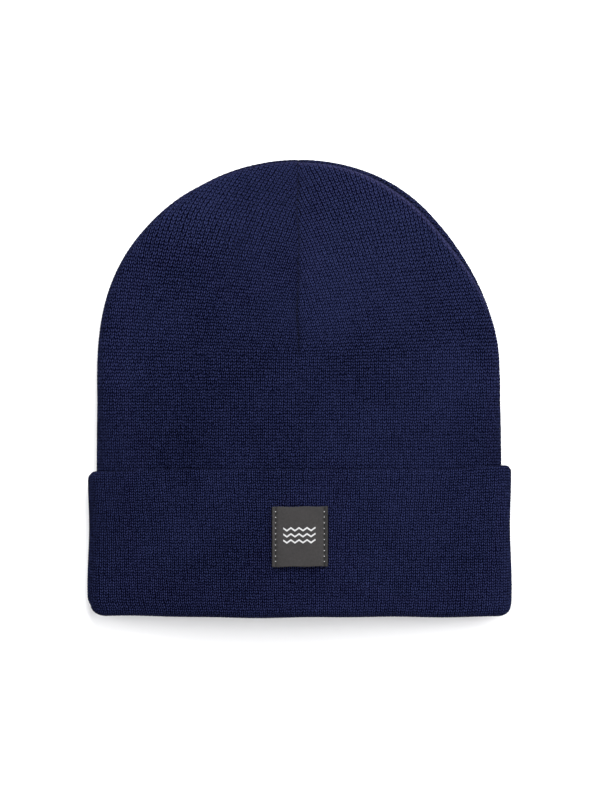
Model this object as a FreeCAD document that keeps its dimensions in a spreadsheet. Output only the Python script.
"""Cuffed knit beanie lying flat on its back: two knitted layers, turned up once at the brim.

Row frame, millimetres: +Z up from the table, +Y from the bottom fold to the crown, X across.
The origin is on the table, under the middle of the hat's length and width.

Every knitted layer lies between two forms. A form's cross-section has a flat underside, round
side folds and a gently arched top. A form's inset is how far it lies inside the cuff's face,
all round, so that the layers nest with a small gap between them.
"""

import FreeCAD, Part

import os
import re

import Sketcher

DIMENSIONS = {
    # The hat's outside.
    "cuff_half_width": 106.0,
    "total_length": 228.0,
    "total_height": 32.0,
    "cuff_depth": 73.5,
    "side_radius": 9.0,
    # One knitted layer, and the gap to the next.
    "layer": 1.8,
    "gap": 0.4,
    # Rounding of the cuff at its bottom fold and at the brim.
    "fold_round": 8.0,
    "brim_round": 3.0,
    # Where the body's and the lining's lower ends stop above the bottom fold.
    "body_end": 6.4,
    "lining_end": 2.2,
    # From the brim to where the body's underside steps down to the table.
    "step_start": 2.5,
    # Darts that shape the crown: slots in the knit, each closed by a sewn seam.
    "dart_length": 91.5,
    "dart_opening": 1.0,
    "seam_width": 0.9,
    "tack_radius": 1.3,
    "tack_length": 5.0,
    "clearance": 0.05,
    # Woven label on the cuff, its left and right ends turned under.
    "label_width": 28.5,
    "label_length": 31.0,
    "label_centre_x": 0.5,
    "label_centre_y": -74.5,
    "label_cloth": 0.6,
    "label_turn": 5.0,
    "label_lift": 0.3,
    "left_row_inset": 1.6,
    "right_row_inset": 2.2,
    # Stitches: visible span, rounding at the holes, pitch along the row.
    "thread_radius": 0.25,
    "stitch_span": 1.7,
    "stitch_bend": 0.45,
    "stitch_pitch": 2.75,
    "stitch_count": 11,
    # Blank care label inside, sewn to the lining at its upper end.
    "care_width": 20.0,
    "care_length": 36.0,
    "care_cloth": 0.5,
    "care_lift": 0.1,
    "care_end_y": -60.0,
    "care_row_inset": 1.5,
    "care_stitch_count": 6,
    "care_stitch_pitch": 3.0,
    # Longer than the whole hat, for cutting blocks.
    "reach": 300.0,
}

DERIVED = {
    "fold_y": "=-total_length / 2",
    "apex_y": "=total_length / 2",
    "brim_y": "=-total_length / 2 + cuff_depth",
    "body_inset": "=2 * layer + 2 * gap",
    "lining_inset": "=3 * layer + 3 * gap",
    "hollow_inset": "=4 * layer + 3 * gap",
    "crown_y": "=total_length / 2 - cuff_half_width + 2 * layer + 2 * gap",
    "dart_y": "=total_length / 2 - dart_length",
    "side_x": "=cuff_half_width - side_radius",
    "arch_radius": (
        "=((cuff_half_width - side_radius) ^ 2 + total_height ^ 2"
        " - 2 * total_height * side_radius) / (2 * (total_height - 2 * side_radius))"
    ),
    "label_low_x": "=label_centre_x - label_width / 2",
    "label_high_x": "=label_centre_x + label_width / 2",
    "label_face": "=label_lift + 2 * label_cloth",
}

ALIAS = re.compile(r"[a-z][a-z_]+")
# FACING_Y stands a sketch up, X across and Z up. ALONG_Y lays a rod along the hat's length.
# QUARTER_TURN turns a row of stitches to run across the hat.
FACING_Y = FreeCAD.Rotation(FreeCAD.Vector(1, 0, 0), 90)
ALONG_Y = FreeCAD.Rotation(FreeCAD.Vector(1, 0, 0), -90)
QUARTER_TURN = FreeCAD.Rotation(FreeCAD.Vector(0, 0, 1), 90)

doc = FreeCAD.newDocument("beanie")
sheet = doc.addObject("Spreadsheet::Sheet", "Dims")


def fill_sheet():
    """One dimension a row: its name in column A, its value and alias in column B."""
    for row, (alias, value) in enumerate({**DIMENSIONS, **DERIVED}.items(), 1):
        sheet.set(f"A{row}", alias)
        sheet.set(f"B{row}", str(value))
        sheet.setAlias(f"B{row}", alias)
    doc.recompute()


def linked(formula):
    """The formula with every alias pointing at the sheet."""
    return ALIAS.sub(
        lambda word: word[0] if word[0] == "sqrt" else f"Dims.{word[0]}", formula
    )


def number(formula):
    """The formula's present value, for a sketch's first guess."""
    plain = ALIAS.sub(
        lambda word: word[0] if word[0] == "sqrt" else f"({sheet.get(word[0])})",
        formula,
    )
    return FreeCAD.Units.Quantity(plain).Value


def bind(piece, **formulas):
    """Binds properties to formulas; a double underscore in a name stands for a dot."""
    for prop, formula in formulas.items():
        piece.setExpression(prop.replace("__", "."), linked(formula))
    return piece


def point(u, v):
    return FreeCAD.Vector(number(u), number(v), 0)


def hold(sketch, edge, end, u, v):
    """Fixes one end of a sketch edge at the point (u, v), both formulas."""
    for kind, formula, axis in (("DistanceX", u, -2), ("DistanceY", v, -1)):
        if formula == "0":
            on_axis = Sketcher.Constraint("PointOnObject", edge, end, axis)
            sketch.addConstraint(on_axis)
            continue
        distance = Sketcher.Constraint(kind, -1, 1, edge, end, number(formula))
        index = sketch.addConstraint(distance)
        sketch.setExpression(f"Constraints[{index}]", linked(formula))


def hold_radius(sketch, edge, radius):
    """Gives a sketch's arc or circle its radius."""
    constraint = Sketcher.Constraint("Radius", edge, number(radius))
    index = sketch.addConstraint(constraint)
    sketch.setExpression(f"Constraints[{index}]", linked(radius))


def draw_line(sketch, start, end):
    edge = sketch.addGeometry(Part.LineSegment(point(*start), point(*end)))
    hold(sketch, edge, 1, *start)
    hold(sketch, edge, 2, *end)


def draw_arc(sketch, start, end, centre, radius):
    """An arc of less than half a turn between two points, whichever way round."""
    middle = point(*centre)
    if (point(*start) - middle).cross(point(*end) - middle).z < 0:
        start, end = end, start
    out = (point(*start) + point(*end)) * 0.5 - middle
    middle += out.normalize() * number(radius)
    edge = sketch.addGeometry(Part.Arc(point(*start), middle, point(*end)))
    hold(sketch, edge, 1, *start)
    hold(sketch, edge, 2, *end)
    hold_radius(sketch, edge, radius)


def draw_section(sketch, inset, drop="0", half=False):
    """A form's cross-section, with its underside lowered by drop. half keeps only +X."""
    fold = f"( side_radius - ( {inset} ) )"
    edge_x = f"side_x + {fold}"
    floor = f"{inset} - {drop}"
    low_z = f"side_radius - {drop}"
    arch_z = "( total_height - arch_radius )"
    share = f"( arch_radius - ( {inset} ) ) / ( arch_radius - side_radius )"
    join_x = f"side_x * {share}"
    join_z = f"{arch_z} + ( side_radius - {arch_z} ) * {share}"
    for side in ("", "-") if not half else ("",):
        middle = (f"{side}side_x", low_z)
        upper = (f"{side}side_x", "side_radius")
        foot = (f"{side}side_x", floor)
        join = (f"{side}{join_x}", join_z)
        outer = f"{side}( {edge_x} )"
        if drop == "0":
            draw_arc(sketch, foot, join, upper, fold)
        else:
            draw_arc(sketch, foot, (outer, low_z), middle, fold)
            draw_line(sketch, (outer, low_z), (outer, "side_radius"))
            draw_arc(sketch, (outer, "side_radius"), join, upper, fold)
    arch = (("0", arch_z), f"arch_radius - ( {inset} )")
    if half:
        top = ("0", f"total_height - ( {inset} )")
        draw_line(sketch, ("0", floor), ("side_x", floor))
        draw_arc(sketch, (join_x, join_z), top, *arch)
        draw_line(sketch, top, ("0", floor))
    else:
        draw_line(sketch, ("-side_x", floor), ("side_x", floor))
        draw_arc(sketch, (join_x, join_z), (f"-{join_x}", join_z), *arch)


def section_at(name, y, inset, drop="0", half=False):
    """A form's cross-section as a sketch standing across the hat at y."""
    sketch = doc.addObject("Sketcher::SketchObject", name)
    sketch.Placement.Rotation = FACING_Y
    bind(sketch, Placement__Base__y=y)
    draw_section(sketch, inset, drop, half)
    return sketch


def length_of(name, inset, low, high, drop="0"):
    """A straight length of a form, from low to high."""
    made = doc.addObject("Part::Extrusion", name)
    made.Base = section_at(name + "_section", low, inset, drop)
    made.DirMode = "Custom"
    made.Dir = FreeCAD.Vector(0, 1, 0)
    made.Solid = True
    return bind(made, LengthFwd=f"{high} - ( {low} )")


def boolean(kind, name, base, tool):
    """Cut or Common of two shapes."""
    made = doc.addObject(f"Part::{kind}", name)
    made.Base = base
    made.Tool = tool
    return made


def fuse(name, shapes):
    """Several shapes as one."""
    made = doc.addObject("Part::MultiFuse", name)
    made.Shapes = shapes
    return made


def box(name, x, y, z, size_x, size_y, size_z):
    """A box from its low corner and its sizes, all formulas."""
    made = doc.addObject("Part::Box", name)
    bind(made, Length=size_x, Width=size_y, Height=size_z)
    bind(made, Placement__Base__x=x, Placement__Base__y=y, Placement__Base__z=z)
    return made


def rod(name, radius, low, high):
    """A round rod along Y at the height of the side folds, from low to high."""
    made = doc.addObject("Part::Cylinder", name)
    made.Placement.Rotation = ALONG_Y
    bind(made, Radius=radius, Height=f"{high} - ( {low} )")
    return bind(made, Placement__Base__y=low, Placement__Base__z="side_radius")


def end_face(solid, direction):
    """The name of the flat face that looks along +Y (1) or -Y (-1)."""
    for index, face in enumerate(solid.Shape.Faces, 1):
        flat = isinstance(face.Surface, Part.Plane)
        if flat and face.normalAt(0, 0).y * direction > 0.999:
            return f"Face{index}"
    raise RuntimeError(f"{solid.Name} has no end face")


def rounded_form(name, inset, low, high, low_round, high_round=None):
    """A straight form whose end edges are rounded all the way round."""
    body = doc.addObject("PartDesign::Body", name)
    planes = {part.Role: part for part in body.Origin.OriginFeatures}
    sketch = body.newObject("Sketcher::SketchObject", name + "_section")
    sketch.AttachmentSupport = (planes["XZ_Plane"], "")
    sketch.MapMode = "FlatFace"
    bind(sketch, AttachmentOffset__Base__z=f"-( {low} )")
    draw_section(sketch, inset)
    pad = body.newObject("PartDesign::Pad", name + "_length")
    pad.Profile = sketch
    pad.Reversed = True
    bind(pad, Length=f"{high} - ( {low} )")
    doc.recompute()
    last = pad
    for direction, rounding in ((-1, low_round), (1, high_round)):
        if rounding is None:
            continue
        edge = "low" if direction < 0 else "high"
        fillet = body.newObject("PartDesign::Fillet", f"{name}_{edge}_edge")
        fillet.Base = (last, [end_face(last, direction)])
        bind(fillet, Radius=rounding)
        body.Tip = fillet
        doc.recompute()
        last = fillet
    return body


def body_form(name, inset, low, step_wall):
    """A form over the cuff, then down to the table and on to the round crown."""
    step_y = f"brim_y + step_start + {step_wall}"
    over_cuff = length_of(name + "_over_cuff", inset, low, step_y)
    on_table = length_of(name + "_on_table", inset, step_y, "crown_y", "body_inset")
    dome = doc.addObject("Part::Revolution", name + "_dome")
    dome.Source = section_at(
        name + "_dome_section", "crown_y", inset, "body_inset", half=True
    )
    dome.Axis = FreeCAD.Vector(0, 0, 1)
    dome.Angle = 180
    dome.Solid = True
    bind(dome, Base__y="crown_y")
    return fuse(name, [over_cuff, on_table, dome])


def dart_boxes(prefix, width, start):
    """Four flat boxes from start past the apex: front, back, left and right."""
    half = "reach / 2"
    low_x = f"-{width} / 2"
    low_z = f"side_radius - {width} / 2"
    long = f"{half} - ( {start} )"
    corners = {
        "front": (low_x, "side_radius", width, half),
        "back": (low_x, f"side_radius - {half}", width, half),
        "left": (f"-{half}", low_z, half, width),
        "right": ("0", low_z, half, width),
    }
    return {
        side: box(f"{prefix}_{side}", x, start, z, size_x, long, size_z)
        for side, (x, z, size_x, size_z) in corners.items()
    }


def darted_layer(name, inset, low, slots, seams, tack_hole):
    """One knitted layer of the body and the four sewn seams that close its darts."""
    whole = boolean(
        "Cut",
        name + "_whole",
        body_form(name + "_outside", inset, low, "0"),
        body_form(name + "_inside", f"{inset} + layer", "fold_y - layer", "layer"),
    )
    openings = fuse(name + "_openings", [*slots.values(), tack_hole])
    knit = boolean("Cut", name + "_knit", whole, openings)
    knit.Label = name
    made = [knit]
    for side, seam in seams.items():
        strip = boolean("Common", f"{name}_{side}_strip", whole, seam)
        sewn = boolean("Cut", f"{name}_{side}_sewn", strip, tack_hole)
        sewn.Label = f"{name}_{side}_seam"
        made.append(sewn)
    return made


def cuff_outer_layer():
    """The cuff's face: it runs from the brim fold down and round the bottom fold."""
    outside = rounded_form(
        "cuff_face", "0", "fold_y", "brim_y", "fold_round", "brim_round"
    )
    behind = rounded_form(
        "cuff_face_behind",
        "layer",
        "fold_y + layer",
        "brim_y - layer",
        "fold_round - layer",
    )
    throat = length_of(
        "cuff_face_throat", "2 * layer + gap", "brim_y - 2 * layer", "brim_y + layer"
    )
    mouth = length_of(
        "cuff_face_mouth", "hollow_inset", "fold_y - layer", "fold_y + 2 * layer"
    )
    hollow = fuse("cuff_face_hollow", [behind, throat, mouth])
    knit = boolean("Cut", "cuff_face_knit", outside, hollow)
    knit.Label = "cuff_outer_layer"
    return knit


def cuff_inner_layer():
    """The cuff's hidden layer, turned up from the lower end of the body's outer layer."""
    low = "fold_y + layer + gap"
    outside = rounded_form(
        "cuff_back",
        "layer + gap",
        low,
        "brim_y - layer - gap",
        "fold_round - layer - gap",
    )
    behind = rounded_form(
        "cuff_back_behind",
        "2 * layer + gap",
        f"{low} + layer",
        "brim_y + layer",
        "fold_round - 2 * layer - gap",
    )
    mouth = length_of(
        "cuff_back_mouth", "3 * layer + 2 * gap", "fold_y", "fold_y + fold_round"
    )
    hollow = fuse("cuff_back_hollow", [behind, mouth])
    knit = boolean("Cut", "cuff_back_knit", outside, hollow)
    knit.Label = "cuff_inner_layer"
    return knit


def crown_tack():
    """The knot of thread at the apex that ties the points of both layers together."""
    knot = rod(
        "tack_knot", "tack_radius", "apex_y - tack_length", "apex_y - clearance"
    )
    knot.Label = "crown_tack"
    return knot


def stitch_row(name, radius, leg, pitch, count):
    """A row of stitches along local Y. Each has its two legs going down at its ends."""
    body = doc.addObject("PartDesign::Body", name)
    body.AllowCompound = True
    planes = {part.Role: part for part in body.Origin.OriginFeatures}
    path = body.newObject("Sketcher::SketchObject", name + "_path")
    path.AttachmentSupport = (planes["YZ_Plane"], "")
    path.MapMode = "FlatFace"
    bend = "stitch_bend"
    far_bend = "stitch_span - stitch_bend"
    draw_line(path, ("0", f"-( {leg} )"), ("0", f"-{bend}"))
    draw_arc(path, ("0", f"-{bend}"), (bend, "0"), (bend, f"-{bend}"), bend)
    draw_line(path, (bend, "0"), (far_bend, "0"))
    draw_arc(
        path, (far_bend, "0"), ("stitch_span", f"-{bend}"), (far_bend, f"-{bend}"), bend
    )
    draw_line(path, ("stitch_span", f"-{bend}"), ("stitch_span", f"-( {leg} )"))
    section = body.newObject("Sketcher::SketchObject", name + "_section")
    section.AttachmentSupport = (planes["XY_Plane"], "")
    section.MapMode = "FlatFace"
    bind(section, AttachmentOffset__Base__z=f"-( {leg} )")
    circle = Part.Circle(FreeCAD.Vector(), FreeCAD.Vector(0, 0, 1), number(radius))
    section.addGeometry(circle)
    section.addConstraint(Sketcher.Constraint("Coincident", 0, 3, -1, 1))
    hold_radius(section, 0, radius)
    doc.recompute()
    thread = body.newObject("PartDesign::AdditivePipe", name + "_thread")
    thread.Profile = section
    thread.Spine = (path, [])
    body.Tip = thread
    row = body.newObject("PartDesign::LinearPattern", name + "_stitches")
    row.Originals = [thread]
    row.Direction = (path, ["H_Axis"])
    bind(row, Occurrences=count, Length=f"{pitch} * ( {count} - 1 )")
    body.Tip = row
    return body


def label_part(name, outer, inner, x, width):
    """A sheet on the cuff's front between two insets, from x, as wide as given."""
    skin = boolean(
        "Cut",
        name + "_skin",
        length_of(name + "_top", outer, "fold_y", "brim_y"),
        length_of(name + "_under", inner, "fold_y - layer", "brim_y + layer"),
    )
    low_y = "label_centre_y - label_length / 2"
    size = (width, "label_length", "reach")
    area = box(name + "_area", x, low_y, "total_height / 2", *size)
    return boolean("Common", name, skin, area)


def place_label_row(row, x):
    """Sets a stitch row on the label's face at x, centred on the label's length."""
    run = "( stitch_pitch * ( stitch_count - 1 ) + stitch_span )"
    surface = (
        "total_height - arch_radius"
        f" + sqrt( ( arch_radius + label_face ) ^ 2 - ( {x} ) ^ 2 )"
    )
    bind(
        row,
        Placement__Base__x=x,
        Placement__Base__y=f"label_centre_y - {run} / 2",
        Placement__Base__z=f"{surface} + thread_radius",
    )


def label_and_stitches():
    """The blank woven label on the cuff and its two rows of stitches."""
    leg = "thread_radius + label_cloth * 2 + label_lift / 2"
    columns = {
        "left": "label_low_x + left_row_inset",
        "right": "label_high_x - right_row_inset",
    }
    counts = ("stitch_pitch", "stitch_count")
    rows = []
    holes = []
    for side, x in columns.items():
        row = stitch_row(f"{side}_row", "thread_radius", leg, *counts)
        row.Label = f"label_stitches_{side}"
        hole = stitch_row(
            f"{side}_holes", "thread_radius + clearance", f"{leg} + label_lift", *counts
        )
        for placed in (row, hole):
            place_label_row(placed, x)
        rows.append(row)
        holes.append(hole)
    under = "-label_lift - label_cloth"
    turned = (under, "-label_lift")
    cloth = fuse(
        "label_whole",
        [
            label_part("label_top", "-label_face", under, "label_low_x", "label_width"),
            label_part("label_left_turn", *turned, "label_low_x", "label_turn"),
            label_part(
                "label_right_turn", *turned, "label_high_x - label_turn", "label_turn"
            ),
        ],
    )
    pierced = boolean("Cut", "label_pierced", cloth, fuse("label_holes", holes))
    pierced.Label = "label"
    return [pierced, *rows]


def care_label_and_stitches():
    """The blank care label inside and the stitches that hold its upper end."""
    under = "hollow_inset + care_lift"
    low_y = "care_end_y - care_length"
    size = ("care_width", "care_length", "care_cloth")
    cloth = box("care_whole", "-care_width / 2", low_y, under, *size)
    run = "( care_stitch_pitch * ( care_stitch_count - 1 ) + stitch_span )"
    leg = "thread_radius + care_cloth + care_lift / 2"
    rows = []
    for name, radius, depth in (
        ("care_row", "thread_radius", leg),
        ("care_holes", "thread_radius + clearance", f"{leg} + care_lift"),
    ):
        row = stitch_row(name, radius, depth, "care_stitch_pitch", "care_stitch_count")
        row.Placement.Rotation = QUARTER_TURN
        bind(
            row,
            Placement__Base__x=f"{run} / 2",
            Placement__Base__y="care_end_y - care_row_inset",
            Placement__Base__z=f"{under} + care_cloth + thread_radius",
        )
        rows.append(row)
    rows[0].Label = "care_label_stitches"
    pierced = boolean("Cut", "care_pierced", cloth, rows[1])
    pierced.Label = "care_label"
    return [pierced, rows[0]]


def build():
    """Every sub-part of the hat."""
    fill_sheet()
    slots = dart_boxes("slot", "dart_opening", "dart_y")
    seams = dart_boxes("seam", "seam_width", "dart_y + clearance")
    tack_hole = rod(
        "tack_hole",
        "tack_radius + clearance",
        "apex_y - 2 * tack_length",
        "apex_y + tack_length",
    )
    cutters = (slots, seams, tack_hole)
    made = darted_layer("body_lining", "lining_inset", "fold_y + lining_end", *cutters)
    made += darted_layer(
        "body_outer_layer", "body_inset", "fold_y + body_end", *cutters
    )
    made += [crown_tack(), cuff_inner_layer(), cuff_outer_layer()]
    made += label_and_stitches()
    made += care_label_and_stitches()
    doc.recompute()
    return made


def save(made):
    """Checks every object and sub-part, then writes one STEP file a sub-part."""
    for thing in doc.Objects:
        if "Invalid" in thing.State or "Error" in thing.State:
            raise RuntimeError(f"{thing.Name}: {thing.getStatusString()}")
    os.makedirs("parts", exist_ok=True)
    for piece in made:
        shape = piece.Shape
        if shape.isNull() or not shape.isValid() or shape.Volume <= 0:
            raise RuntimeError(f"{piece.Label} has no valid solid")
        span = shape.BoundBox
        print(
            f"{piece.Label}: {len(shape.Solids)} solid(s), {shape.Volume:.1f} mm3,",
            f"x {span.XMin:.2f} {span.XMax:.2f} y {span.YMin:.2f} {span.YMax:.2f}",
            f"z {span.ZMin:.2f} {span.ZMax:.2f}",
        )
        shape.exportStep(f"parts/{piece.Label}.step")


save(build())
